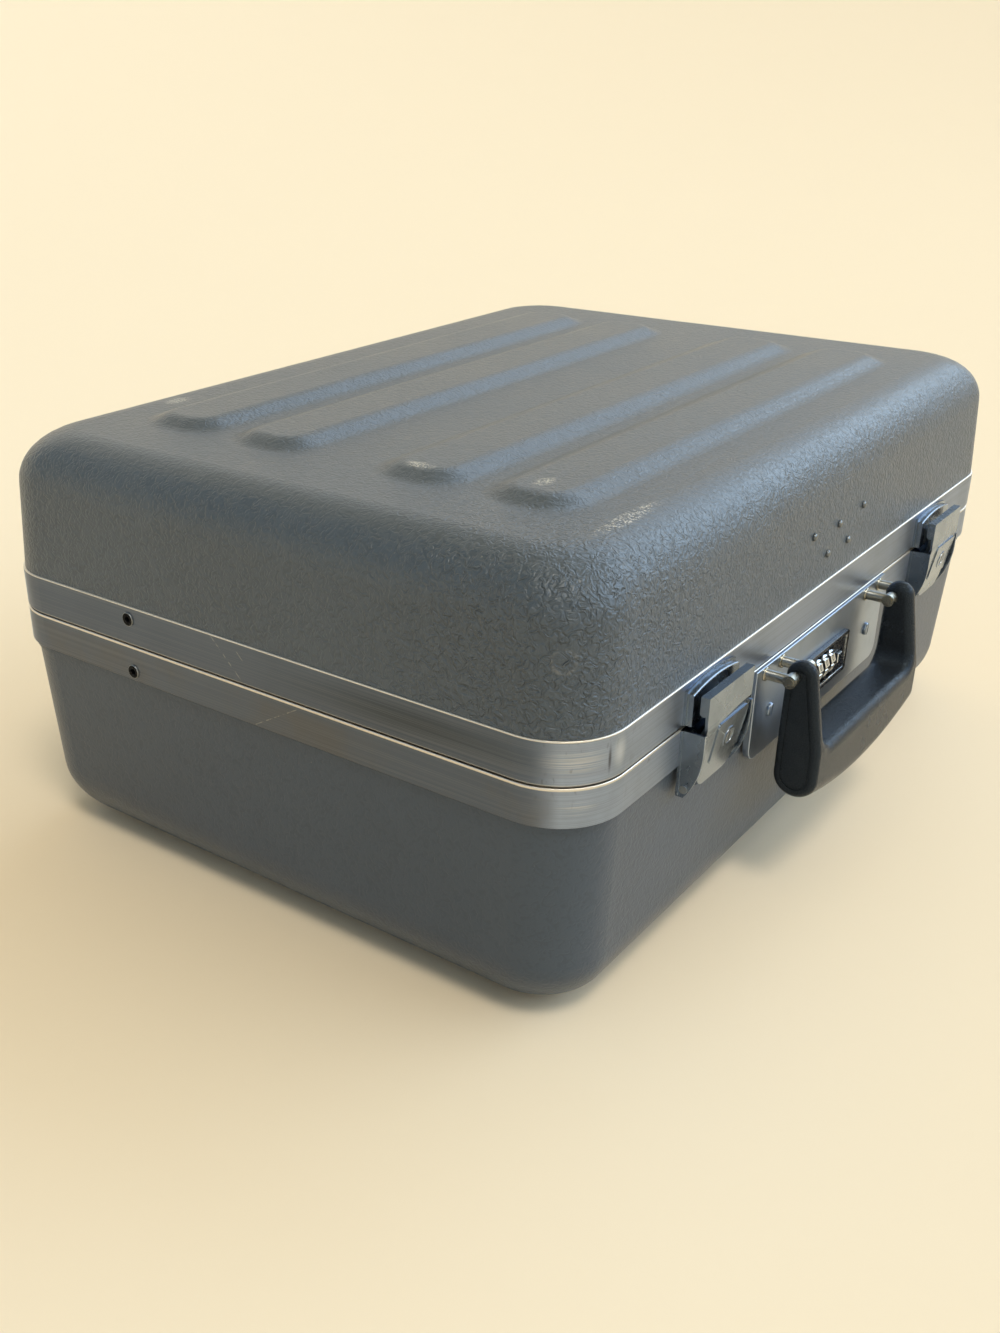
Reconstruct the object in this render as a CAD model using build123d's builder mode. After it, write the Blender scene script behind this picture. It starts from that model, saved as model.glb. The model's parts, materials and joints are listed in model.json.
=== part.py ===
"""Portable typewriter case: moulded lid and base in aluminium frames, latches, lock and handle.

Frame: millimetres, origin under the middle of the base, +X right along the handle side,
the handle side faces -Y, the hinges are at +Y, +Z up.
"""

import math
import os

from build123d import *

# Overall form
case_length = 450.0
case_depth = 328.0
corner_radius = 30.0
base_height = 117.0
lid_height = 83.0
wall = 3.0
corner_shrink = 0.29

# Moulded shells
lid_draft = 3.0
base_draft = 2.7
lid_edge_radius = 24.0
base_edge_radius = 31.0
lid_step = 0.7
base_step = 1.9
arc_sections = 5

# Raised ribs on the lid
rib_length = 330.0
rib_width = 36.0
rib_height = 4.0
rib_pair_offset = 69.0
rib_pitch = 55.0
rib_slope_run = 9.0
rib_end_radius = 14.0
rib_blend = 11.0

# Aluminium frames round the seam
lid_band = 19.0
base_band = 17.5
seam_gap = 0.8
band_skin = 1.6
skirt_thickness = 2.4
leg_thickness = 1.5
skirt_fit = 0.15
web_thickness = 1.6
tongue_height = 4.2
tongue_thickness = 1.5
tongue_clearance = 0.5
leg_setback = 1.5
band_edge_round = 0.5

# Back hinges
hinge_spacing = 260.0
hinge_width = 52.0
hinge_knuckles = 5
hinge_offset = 3.6
knuckle_radius = 3.2
hinge_pin_radius = 1.5
leaf_thickness = 1.2
leaf_height = 15.5
knuckle_gap = 0.2
leaf_margin = 0.4
leaf_corner = 4.0
hinge_pin_end = 1.0
hinge_rivet_spacing = 19.0
hinge_rivet_drop = 10.5

# Rivets
rivet_radius = 1.4
rivet_head_radius = 2.4
rivet_head_height = 0.8
hole_fit = 0.05
running_fit = 0.06

# Lid stays at both ends
stay_setback = 95.6
stay_rise = 12.8
stay_pin_radius = 2.0
stay_eyelet_radius = 3.3
stay_eyelet_height = 0.7
stay_eyelet_bore = 1.5
stay_link_radius = 4.6
stay_link_thickness = 1.2
stay_gap = 0.4
stay_link_round = 0.3
elbow_clearance = 0.4
elbow_pin_radius = 1.8
elbow_head_height = 0.3

# Latches
latch_spacing = 258.0
latch_width = 44.0
latch_bottom = 31.5
latch_plate_thickness = 1.2
cheek_depth = 10.5
cheek_mid_depth = 9.1
cheek_low_depth = 3.4
cheek_top_drop = 8.0
cheek_mid_drop = 18.5
cheek_low_drop = 30.5
cheek_thickness = 1.2
latch_top_gap = 0.4
latch_plate_corner = 3.0
lever_width = 40.0
lever_low_width = 30.6
lever_top = 15.0
lever_bottom = 28.6
lever_taper_rise = 4.0
lever_bend_rise = 0.9
lever_bend_round = 14.0
lever_top_reach = 10.4
lever_low_reach = 5.5
lever_sheet = 1.2
lever_corner = 8.0
lever_shelf_depth = 3.8
lever_tab_drop = 8.5
lever_tab_width = 3.2
lever_pivot_reach = 3.4
lever_pivot_drop = 26.6
lever_pin_radius = 1.0
lever_ear_radius = 1.9
lever_ear_thickness = 1.2
lever_ear_inset = 7.6
lever_ear_top_reach = 7.8
lever_ear_top_drop = 5.0
lever_end_gap = 0.4
lever_tab_thickness = 1.2
pin_end = 0.4
pin_head_extra = 0.8
pin_head_height = 0.6
panel_shift = 4.8
panel_width = 27.0
panel_top = 1.0
panel_bottom = 20.0
panel_raise = 0.5
panel_corner = 2.0
plug_radius = 3.4
plug_drop = 11.5
plug_boss_radius = 4.8
plug_boss_rise = 0.3
plug_rise = 0.1
plug_length = 2.7
plug_flange_radius = 3.9
plug_flange_height = 0.8
key_slot_width = 1.2
key_slot_height = 4.4
key_slot_depth = 1.6
latch_rivet_spacing = 27.0
latch_rivet_drop = 6.0
latch_rivet_pitch = 8.0

# Latch claws and strikes
claw_width = 16.0
claw_sheet = 1.4
claw_pivot_reach = 3.1
claw_pivot_drop = 21.4
claw_pin_radius = 0.9
claw_eye_radius = 1.7
claw_reach = 4.4
claw_low_reach = 2.4
claw_bend_drop = 7.0
claw_bend_rise = 4.5
finger_bottom = 6.2
finger_height = 1.8
finger_tip_reach = 1.7
claw_lug_thickness = 1.2
claw_lug_gap = 1.0
claw_lug_drop = 13.0
claw_lug_reach = 6.4
strike_depth = 3.6
strike_width = 40.0
strike_flange = 1.2
strike_border = 1.2
strike_edge_round = 0.8
strike_side_height = 14.7
strike_crown = 2.3
strike_bottom = 0.9
strike_window_width = 18.0
strike_window_bottom = 6.0
strike_window_height = 4.6
strike_stud_spacing = 30.0
strike_stud_rise = 10.0
strike_stud_depth = 2.2

# Lock plate and handle mounts
lock_offset = -8.5
plate_length = 150.0
plate_drop = 45.0
plate_thickness = 1.5
plate_rim = 1.6
plate_top_gap = 0.4
plate_corner = 7.0
plate_rim_gap = 0.4
plate_edge_round = 0.5
plate_screw_spacing = 114.0
plate_screw_drop = 25.0
plate_screw_radius = 1.6
plate_screw_head = 3.2
plate_screw_height = 1.3
plate_screw_round = 0.7
screw_slot_width = 0.9
screw_slot_angle = 78.0
nut_radius = 3.4
nut_height = 2.2
post_inner = 49.7
post_outer = 66.8
post_drop = 4.0
post_radius = 2.4
post_shank_radius = 1.6
post_flange_radius = 3.2
post_flange_height = 1.0
handle_reach = 13.5
ear_radius = 3.0
ear_margin = 0.1
handle_pin_radius = 1.3

# Combination lock
lock_drop = 25.0
bezel_length = 55.0
bezel_lap = 1.7
bezel_thickness = 1.7
bezel_rim = 1.6
bezel_rim_height = 0.7
bezel_corner = 1.5
bezel_tongue = 1.2
window_length = 51.0
window_fit = 0.2
lock_case_seat = 0.1
lock_case_wall = 1.2
lock_case_length = 52.0
lock_case_fit = 0.4
dial_radius = 8.5
dial_thickness = 4.6
dial_pitch = 7.3
dial_count = 3
dial_sides = 10
dial_setback = 3.0
dial_room = 0.5
dial_back_room = 0.3
dial_slot_gap = 0.3
dial_notch = 0.9
axle_radius = 1.5
button_width = 5.0
button_height = 4.8
button_reach = 4.8
button_travel = 3.4
button_start = 13.4
button_shoulder = 1.0
button_shoulder_depth = 1.9
button_shoulder_thickness = 1.1
button_gap = 0.2
button_round = 0.5
button_groove = 0.5
button_groove_pitch = 1.4

# Badge studs on the front of the lid
stud_radius = 1.7
stud_height = 1.3
stud_dome = 0.8
stud_spacing = 29.0
stud_row_rise = 44.5
stud_row_dip = 1.6
stud_low_rise = 32.0
stud_low_spacing = 24.0
stud_shank_radius = 1.0

# Carrying handle
handle_arm_width = 7.5
handle_eye_radius = 7.0
handle_eye_lead = 2.0
handle_grip_radius = 10.3
handle_grip_lead = 4.9
handle_hang = 35.0
handle_grip_bottom = 70.0
handle_grip_bow = 8.0
handle_grip_top = 38.6
handle_inner_radius = 8.5
handle_edge_round = 4.5
handle_end_round = 2.6
handle_groove_inset = 3.6
handle_groove_width = 0.8
handle_groove_depth = 0.5
bushing_radius = 2.3
bushing_lip = 1.8

seam = base_height
window_height = 2 * (dial_radius + dial_room)
bezel_height = window_height + 2 * bezel_lap
lock_case_height = window_height + 2 * lock_case_wall
lock_case_depth = dial_setback + dial_radius + dial_back_room + lock_case_wall
front_y = -case_depth / 2
back_y = case_depth / 2
hinge_y = back_y + hinge_offset
half_gap = seam_gap / 2
skirt_inset = band_skin + skirt_fit
leg_inset = skirt_inset + skirt_thickness + skirt_fit
leg_inner = leg_inset + leg_thickness
lid_web_bottom = tongue_height + tongue_clearance
tongue_inset = (band_skin + leg_inset - tongue_thickness) / 2
post_centre = (post_inner + post_outer) / 2
ear_thickness = 2 * (post_radius + ear_margin)
rib_lines = [
    side * rib_pair_offset + shift * rib_pitch / 2 for side in (-1, 1) for shift in (-1, 1)
]
stay_y = hinge_y - stay_setback
through = leg_inner + rivet_head_height + 2

os.makedirs("parts", exist_ok=True)


def save(piece, name):
    """Labels a finished sub-part and writes its STEP file."""
    piece.part.label = name
    export_step(piece.part, f"parts/{name}.step")
    return piece.part


def front_plane(reach):
    """Plane parallel to the front face, reach outwards from it; sketch x is +X, y is height over the seam."""
    return Plane(origin=(0, front_y - reach, seam), x_dir=(1, 0, 0), z_dir=(0, -1, 0))


def side_plane(x):
    """Plane across the length at x; sketch x is the reach outwards from the front face, y is height."""
    return Plane(origin=(x, front_y, seam), x_dir=(0, -1, 0), z_dir=(-1, 0, 0))


def outline(inset, mode=Mode.ADD):
    """The case's plan outline, moved inwards by inset."""
    return RectangleRounded(
        case_length - 2 * inset, case_depth - 2 * inset, corner_radius - inset, mode=mode
    )


# ---------------------------------------------------------------- moulded shells


def bowl(start, height, step, draft, edge_radius, skin, up):
    """Tapered bowl from the frame's edge to its flat end, rounded at the end; skin is taken off inside."""
    lean = math.radians(draft)
    arc_rise = height - edge_radius
    tangent_rise = arc_rise + edge_radius * math.sin(lean)
    centre_inset = step + (tangent_rise - start) * math.tan(lean) + edge_radius * math.cos(lean)
    inner_radius = edge_radius - skin
    levels = [(start, step + skin / math.cos(lean))]
    for k in range(arc_sections + 1):
        angle = lean + (math.pi / 2 - lean) * k / arc_sections
        levels.append(
            (arc_rise + inner_radius * math.sin(angle), centre_inset - inner_radius * math.cos(angle))
        )
    with BuildPart() as form:
        for sections in (levels[:2], levels[1:]):
            for rise, inset in sections:
                with BuildSketch(Plane.XY.offset(seam + rise if up else seam - rise)):
                    radius = corner_radius - corner_shrink * (inset - skin) - skin
                    RectangleRounded(case_length - 2 * inset, case_depth - 2 * inset, radius)
            loft(ruled=len(sections) == 2)
    return form.part


def rib_forms(level, grow):
    """The four ribs above a level, grown sideways by grow."""
    with BuildPart() as ribs:
        with BuildSketch(Plane.XY.offset(level)):
            with Locations(*[(0, y) for y in rib_lines]):
                RectangleRounded(
                    rib_length + rib_slope_run + 2 * grow,
                    rib_width + rib_slope_run + 2 * grow,
                    rib_end_radius + rib_slope_run / 2 + grow,
                )
        extrude(amount=rib_height, taper=math.degrees(math.atan(rib_slope_run / rib_height)))
        fillet(ribs.faces().group_by(Axis.Z)[-1].edges(), rib_blend)
    return ribs.part


# ---------------------------------------------------------------- fixing points

latch_centres = [-latch_spacing / 2, latch_spacing / 2]
hinge_centres = [-hinge_spacing / 2, hinge_spacing / 2]
latch_rivet_points = [
    (x + side * latch_rivet_spacing / 2, -drop)
    for x in latch_centres
    for side in (-1, 1)
    for drop in (latch_rivet_drop, latch_rivet_drop + latch_rivet_pitch)
]
strike_rivet_points = [
    (x + side * strike_stud_spacing / 2, strike_stud_rise) for x in latch_centres for side in (-1, 1)
]
post_points = [
    (lock_offset + side * x, -post_drop) for side in (-1, 1) for x in (post_inner, post_outer)
]
plate_screw_points = [
    (lock_offset + side * plate_screw_spacing / 2, -plate_screw_drop) for side in (-1, 1)
]
hinge_rivet_points = [
    (x + k * hinge_rivet_spacing, hinge_rivet_drop) for x in hinge_centres for k in (-1, 0, 1)
]
badge_points = [(k * stud_spacing, stud_row_rise - abs(1 - abs(k)) * stud_row_dip) for k in (-1, 0, 1)]
badge_points += [(side * stud_low_spacing / 2, stud_low_rise) for side in (-1, 1)]


def back_plane(reach):
    """Plane parallel to the back face, reach outwards from it; sketch y is height over the seam."""
    return Plane(origin=(0, back_y + reach, seam), x_dir=(-1, 0, 0), z_dir=(0, 1, 0))


def end_plane(side, reach):
    """Plane parallel to the left (-1) or right (+1) end; sketch y is height over the seam."""
    return Plane(
        origin=(side * (case_length / 2 + reach), 0, seam), x_dir=(0, side, 0), z_dir=(side, 0, 0)
    )


def bore(plane, points, radius, depth):
    """Cuts round holes inwards from a plane through the part in hand."""
    with BuildSketch(plane) as rounds:
        with Locations(*points):
            Circle(radius)
    extrude(rounds.sketch, amount=-depth, mode=Mode.SUBTRACT)


def boss(plane, points, radius, height):
    """Adds round bosses outwards from a plane to the part in hand."""
    with BuildSketch(plane) as rounds:
        with Locations(*points):
            Circle(radius)
    extrude(rounds.sketch, amount=height)


def flipped(points):
    """The same points seen from behind."""
    return [(-x, y) for x, y in points]


def link_outline(first, first_radius, second, second_radius):
    """Two circles and the straight tangents that join them, in the sketch in hand."""
    with Locations(first):
        Circle(first_radius)
    with Locations(second):
        Circle(second_radius)
    make_hull()


def flush_rivets(plane, points, skin_reach, inner_reach):
    """Rivets with a low head on the outside and a closing head inside; reaches are from the plane."""
    with BuildPart() as rivets:
        with BuildSketch(plane.offset(skin_reach)):
            with Locations(*points):
                Circle(rivet_head_radius)
        extrude(amount=rivet_head_height)
        with BuildSketch(plane.offset(skin_reach)):
            with Locations(*points):
                Circle(rivet_radius)
        extrude(amount=inner_reach - skin_reach)
        with BuildSketch(plane.offset(inner_reach)):
            with Locations(*points):
                Circle(rivet_head_radius)
        extrude(amount=-rivet_head_height)
    return rivets


# ---------------------------------------------------------------- lid and base shells

lid_outer = bowl(lid_band, lid_height, lid_step, lid_draft, lid_edge_radius, 0, True)
lid_inner = bowl(lid_band, lid_height, lid_step, lid_draft, lid_edge_radius, wall, True)
lid_skirt_bottom = lid_web_bottom + web_thickness + skirt_fit
lid_ribs = rib_forms(seam + lid_height, 0)
lid_rib_hollows = rib_forms(seam + lid_height - wall, -wall)


def on_rib_foot(edge):
    """True for the level edges where the ribs meet the lid's flat top."""
    box = edge.bounding_box()
    level = abs(box.max.Z - seam - lid_height) < 0.01 and abs(box.min.Z - seam - lid_height) < 0.01
    inside = abs(edge.center().X) < rib_length / 2 + rib_slope_run
    return level and inside and abs(edge.center().Y) < rib_pair_offset + rib_pitch / 2 + rib_width


with BuildPart() as lid_shell:
    add(lid_outer)
    add(lid_ribs)
    fillet(lid_shell.edges().filter_by(on_rib_foot), rib_blend)
    add(lid_inner, mode=Mode.SUBTRACT)
    add(lid_rib_hollows, mode=Mode.SUBTRACT)
    with BuildSketch(Plane.XY.offset(seam + lid_skirt_bottom)):
        outline(skirt_inset)
        outline(skirt_inset + skirt_thickness, Mode.SUBTRACT)
    extrude(amount=lid_band - lid_skirt_bottom + wall)
    bore(front_plane(1), strike_rivet_points, rivet_radius + hole_fit, through)
    bore(front_plane(1), badge_points, stud_shank_radius + hole_fit, through)
    bore(back_plane(1), hinge_rivet_points, rivet_radius + hole_fit, through)
    for side in (-1, 1):
        bore(end_plane(side, 1), [(side * stay_y, stay_rise)], stay_pin_radius + hole_fit, through)
save(lid_shell, "lid_shell")

base_outer = bowl(base_band, base_height, base_step, base_draft, base_edge_radius, 0, False)
base_inner = bowl(base_band, base_height, base_step, base_draft, base_edge_radius, wall, False)
base_skirt_top = half_gap + web_thickness + skirt_fit
lock_cut_length = lock_case_length + 2 * lock_case_fit
lock_cut_height = lock_case_height + 2 * lock_case_fit


def cut_lock_opening():
    """Cuts the opening for the lock case through the front of the part in hand."""
    with BuildSketch(front_plane(1)) as opening:
        with Locations((lock_offset, -lock_drop)):
            Rectangle(lock_cut_length, lock_cut_height)
    extrude(opening.sketch, amount=-through, mode=Mode.SUBTRACT)


with BuildPart() as base_shell:
    add(base_outer)
    add(base_inner, mode=Mode.SUBTRACT)
    with BuildSketch(Plane.XY.offset(seam - base_skirt_top)):
        outline(skirt_inset)
        outline(skirt_inset + skirt_thickness, Mode.SUBTRACT)
    extrude(amount=-(base_band - base_skirt_top) - wall)
    cut_lock_opening()
    bore(front_plane(1), latch_rivet_points, rivet_radius + hole_fit, through)
    bore(front_plane(1), post_points, post_shank_radius + hole_fit, through)
    bore(front_plane(1), plate_screw_points, plate_screw_radius + hole_fit, through)
    bore(back_plane(1), [(x, -rise) for x, rise in hinge_rivet_points], rivet_radius + hole_fit, through)
    for side in (-1, 1):
        bore(end_plane(side, 1), [(side * stay_y, -stay_rise)], stay_pin_radius + hole_fit, through)
save(base_shell, "base_shell")

# ---------------------------------------------------------------- aluminium frames


def frame_ring(bottom, top, outer_inset, inner_inset):
    """Adds one wall of a frame, between two heights over the seam and two insets."""
    with BuildSketch(Plane.XY.offset(seam + bottom)) as section:
        outline(outer_inset)
        outline(inner_inset, Mode.SUBTRACT)
    extrude(section.sketch, amount=top - bottom)


with BuildPart() as lid_frame:
    frame_ring(half_gap, lid_band, 0, band_skin)
    frame_ring(half_gap, lid_band - leg_setback, leg_inset, leg_inner)
    frame_ring(lid_web_bottom, lid_web_bottom + web_thickness, band_skin, leg_inset)
    rims = lid_frame.faces().filter_by(Plane.XY)
    fillet(rims.sort_by(Axis.Z)[-1].outer_wire().edges(), band_edge_round)
    fillet(lid_frame.faces().sort_by(Axis.Z)[0].outer_wire().edges(), band_edge_round)
    bore(front_plane(1), strike_rivet_points, rivet_radius + hole_fit, through)
    bore(back_plane(1), hinge_rivet_points, rivet_radius + hole_fit, through)
    for side in (-1, 1):
        bore(end_plane(side, 1), [(side * stay_y, stay_rise)], stay_pin_radius + hole_fit, through)
save(lid_frame, "lid_frame")

with BuildPart() as base_frame:
    frame_ring(-base_band, -half_gap, 0, band_skin)
    frame_ring(-(base_band - leg_setback), -half_gap, leg_inset, leg_inner)
    frame_ring(-half_gap - web_thickness, -half_gap, band_skin, leg_inset)
    fillet(base_frame.faces().sort_by(Axis.Z)[0].outer_wire().edges(), band_edge_round)
    fillet(base_frame.faces().sort_by(Axis.Z)[-1].outer_wire().edges(), band_edge_round)
    with BuildSketch(Plane.XY.offset(seam - half_gap)):
        outline(tongue_inset)
        outline(tongue_inset + tongue_thickness, Mode.SUBTRACT)
        with Locations((0, back_y)):
            Rectangle(case_length, 2 * corner_radius, mode=Mode.SUBTRACT)
    extrude(amount=tongue_height + half_gap)
    cut_lock_opening()
    bore(front_plane(1), latch_rivet_points, rivet_radius + hole_fit, through)
    bore(front_plane(1), post_points, post_shank_radius + hole_fit, through)
    bore(back_plane(1), [(x, -rise) for x, rise in hinge_rivet_points], rivet_radius + hole_fit, through)
    for side in (-1, 1):
        bore(end_plane(side, 1), [(side * stay_y, -stay_rise)], stay_pin_radius + hole_fit, through)
save(base_frame, "base_frame")

# ---------------------------------------------------------------- back hinges

knuckle_pitch = hinge_width / hinge_knuckles


def hinge_leaf(centre, up):
    """One leaf with its knuckles: the lid's has the even ones, the base's the odd ones."""
    sign = 1 if up else -1
    own = [k for k in range(hinge_knuckles) if k % 2 == (1 if up else 0)]
    clear = knuckle_radius + leaf_margin
    hole = hinge_pin_radius + (running_fit if up else hole_fit / 2)
    with BuildPart() as leaf:
        with BuildSketch(back_plane(0)):
            with Locations((-centre, sign * (clear + leaf_height) / 2)):
                Rectangle(hinge_width, leaf_height - clear)
        extrude(amount=leaf_thickness)
        outer = leaf.edges().filter_by(Axis.Y).sort_by(Axis.Z)
        fillet(outer[-2:] if up else outer[:2], leaf_corner)
        for k in own:
            x = centre - hinge_width / 2 + (k + 0.5) * knuckle_pitch
            width = knuckle_pitch - knuckle_gap
            with BuildSketch(back_plane(0)):
                with Locations((-x, sign * (clear + half_gap) / 2)):
                    Rectangle(width, clear - half_gap)
            extrude(amount=leaf_thickness)
            with BuildSketch(Plane.YZ.offset(x - width / 2)):
                with Locations((hinge_y, seam)):
                    Circle(knuckle_radius)
            extrude(amount=width)
        with BuildSketch(Plane.YZ.offset(centre - hinge_width)):
            with Locations((hinge_y, seam)):
                Circle(hole)
        extrude(amount=2 * hinge_width, mode=Mode.SUBTRACT)
        points = [(-x, sign * rise) for x, rise in hinge_rivet_points if abs(x - centre) < hinge_width / 2]
        bore(back_plane(leaf_thickness), points, rivet_radius + hole_fit, 2 * leaf_thickness)
    return leaf


for name, centre in (("left", hinge_centres[0]), ("right", hinge_centres[1])):
    save(hinge_leaf(centre, True), f"hinge_leaf_lid_{name}")
    save(hinge_leaf(centre, False), f"hinge_leaf_base_{name}")

with BuildPart() as hinge_pins:
    for centre in hinge_centres:
        with BuildSketch(Plane.YZ.offset(centre - hinge_width / 2 - hinge_pin_end)):
            with Locations((hinge_y, seam)):
                Circle(hinge_pin_radius)
        extrude(amount=hinge_width + 2 * hinge_pin_end)
    fillet(hinge_pins.edges().filter_by(GeomType.CIRCLE), hinge_pin_end / 2)
save(hinge_pins, "hinge_pins")

save(flush_rivets(back_plane(0), flipped(hinge_rivet_points), leaf_thickness, -leg_inner), "hinge_rivets_lid")
base_hinge_points = [(-x, -rise) for x, rise in hinge_rivet_points]
save(flush_rivets(back_plane(0), base_hinge_points, leaf_thickness, -leg_inner), "hinge_rivets_base")

# ---------------------------------------------------------------- lid stays

lid_pivot = (stay_y, seam + stay_rise)
base_pivot = (stay_y, seam - stay_rise)
elbow = (hinge_y - 2 * stay_setback, seam)
inner_layer = case_length / 2 - leg_inner - stay_gap - elbow_head_height
outer_layer = inner_layer - stay_link_thickness - stay_gap


def stay_link(side, pivot, layer, pivot_hole, elbow_hole):
    """A flat link from a rivet to the elbow; layer is the distance of its outer face from the middle."""
    with BuildPart() as link:
        with BuildSketch(Plane.YZ.offset(side * layer)):
            link_outline(pivot, stay_link_radius, elbow, stay_link_radius)
            with Locations(pivot):
                Circle(pivot_hole, mode=Mode.SUBTRACT)
            with Locations(elbow):
                Circle(elbow_hole, mode=Mode.SUBTRACT)
        extrude(amount=-side * stay_link_thickness)
        fillet(link.faces().filter_by(Axis.X).edges().filter_by(GeomType.LINE), stay_link_round)
    return link


def stay_rivets(pivot, layer):
    """Eyelet rivets through both ends: rim outside, shoulder and head inside round the link."""
    y, z = pivot
    with BuildPart() as rivets:
        for side in (-1, 1):
            plane = Plane(origin=(side * case_length / 2, y, z), x_dir=(0, side, 0), z_dir=(side, 0, 0))
            link_reach = layer - case_length / 2
            boss(plane, [(0, 0)], stay_eyelet_radius, stay_eyelet_height)
            boss(plane.offset(link_reach - stay_link_thickness), [(0, 0)], stay_pin_radius,
                 stay_link_thickness - link_reach)
            boss(plane.offset(link_reach + stay_gap / 2), [(0, 0)], stay_eyelet_radius,
                 -leg_inner - link_reach - stay_gap / 2)
            head = plane.offset(link_reach - stay_link_thickness - stay_gap / 4)
            boss(head, [(0, 0)], stay_eyelet_radius, -rivet_head_height)
            boss(head, [(0, 0)], stay_pin_radius, stay_gap / 4)
            with BuildSketch(plane.offset(stay_eyelet_height)):
                Circle(stay_eyelet_bore)
            extrude(amount=-stay_eyelet_height - band_skin, mode=Mode.SUBTRACT)
        rims = rivets.faces().filter_by(Axis.X).sort_by(Axis.X)
        fillet([rims[0].outer_wire().edges()[0], rims[-1].outer_wire().edges()[0]], stay_eyelet_height / 2)
    return rivets


for name, side in (("left", -1), ("right", 1)):
    stay_hole = stay_pin_radius + running_fit
    elbow_fit = elbow_pin_radius + hole_fit / 2
    elbow_loose = elbow_pin_radius + elbow_clearance
    save(stay_link(side, base_pivot, inner_layer, stay_hole, elbow_fit), f"stay_lower_{name}")
    save(stay_link(side, lid_pivot, outer_layer, stay_hole, elbow_loose), f"stay_upper_{name}")
save(stay_rivets(lid_pivot, outer_layer), "stay_rivets_lid")
save(stay_rivets(base_pivot, inner_layer), "stay_rivets_base")

for name, side in (("left", -1), ("right", 1)):
    with BuildPart() as elbow_pin:
        plane = Plane(
            origin=(side * inner_layer, elbow[0], elbow[1]), x_dir=(0, side, 0), z_dir=(side, 0, 0)
        )
        boss(plane, [(0, 0)], elbow_pin_radius + elbow_clearance, elbow_head_height)
        length = 2 * stay_link_thickness + 1.5 * stay_gap
        boss(plane, [(0, 0)], elbow_pin_radius, -length)
        boss(plane.offset(-length), [(0, 0)], elbow_pin_radius + 2 * elbow_clearance, -rivet_head_height)
    save(elbow_pin, f"stay_elbow_pin_{name}")

# ---------------------------------------------------------------- latches

lever_pivot = (lever_pivot_reach, -lever_pivot_drop)
claw_pivot = (claw_pivot_reach, -claw_pivot_drop)
cheek_inner = lever_width / 2 + lever_end_gap
ear_outer = lever_width / 2 - lever_ear_inset
lug_inner = claw_width / 2 + claw_lug_gap
lever_lean = math.degrees(math.atan2(lever_top_reach - lever_low_reach, lever_bend_rise + lever_bottom))
plug_reach = lever_low_reach + (lever_bottom - plug_drop) * math.tan(math.radians(lever_lean)) + panel_raise


def bent_sheet(x, outer_shift, inner_shift, width):
    """The lever's front between two shifts of its outer face: upright on top, leaning in below the bend."""
    profile = [
        (lever_top_reach, lever_top), (lever_top_reach, lever_bend_rise), (lever_low_reach, -lever_bottom)
    ]
    outer = [(reach + outer_shift, rise) for reach, rise in profile]
    inner = [(reach + inner_shift, rise) for reach, rise in profile[::-1]]
    with BuildPart() as sheet:
        with BuildSketch(side_plane(x)) as section:
            with BuildLine():
                Polyline(*outer, *inner, close=True)
            make_face()
            bends = section.vertices().filter_by(lambda corner: abs(corner.Y - lever_bend_rise) < 0.01)
            fillet(bends, lever_bend_round)
        extrude(amount=width / 2, both=True)
    return sheet.part


def plug_plane(x, rise):
    """Plane on the leaning lock panel, rise out from its face, centred on the key plug."""
    lean = math.radians(lever_lean)
    return Plane(
        origin=(x + panel_shift, front_y - plug_reach, seam - plug_drop),
        x_dir=(1, 0, 0),
        z_dir=(0, -math.cos(lean), -math.sin(lean)),
    ).offset(rise)


def latch_housing(x):
    """Base plate with two curved cheeks that carry the lever."""
    with BuildPart() as housing:
        with BuildSketch(front_plane(0)):
            with Locations((x, -(latch_top_gap + latch_bottom) / 2 - half_gap / 2)):
                height = latch_bottom - latch_top_gap - half_gap
                Rectangle(latch_width, height)
        extrude(amount=latch_plate_thickness)
        fillet(housing.edges().filter_by(Axis.Y).sort_by(Axis.Z)[:2], latch_plate_corner)
        for side in (-1, 1):
            middle = x + side * (cheek_inner + cheek_thickness / 2)
            with BuildSketch(side_plane(middle)):
                with BuildLine():
                    top = -half_gap - latch_top_gap
                    Line((0, top), (cheek_depth, top))
                    Line((cheek_depth, top), (cheek_depth, -cheek_top_drop))
                    ThreePointArc(
                        (cheek_depth, -cheek_top_drop),
                        (cheek_mid_depth, -cheek_mid_drop),
                        (cheek_low_depth, -cheek_low_drop),
                    )
                    Line((cheek_low_depth, -cheek_low_drop), (0, -cheek_low_drop))
                    Line((0, -cheek_low_drop), (0, top))
                make_face()
                with Locations(lever_pivot):
                    Circle(lever_pin_radius + hole_fit / 2, mode=Mode.SUBTRACT)
            extrude(amount=cheek_thickness / 2, both=True)
        points = [point for point in latch_rivet_points if abs(point[0] - x) < latch_width]
        bore(front_plane(latch_plate_thickness), points, rivet_radius + hole_fit, 2 * latch_plate_thickness)
    return housing


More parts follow.
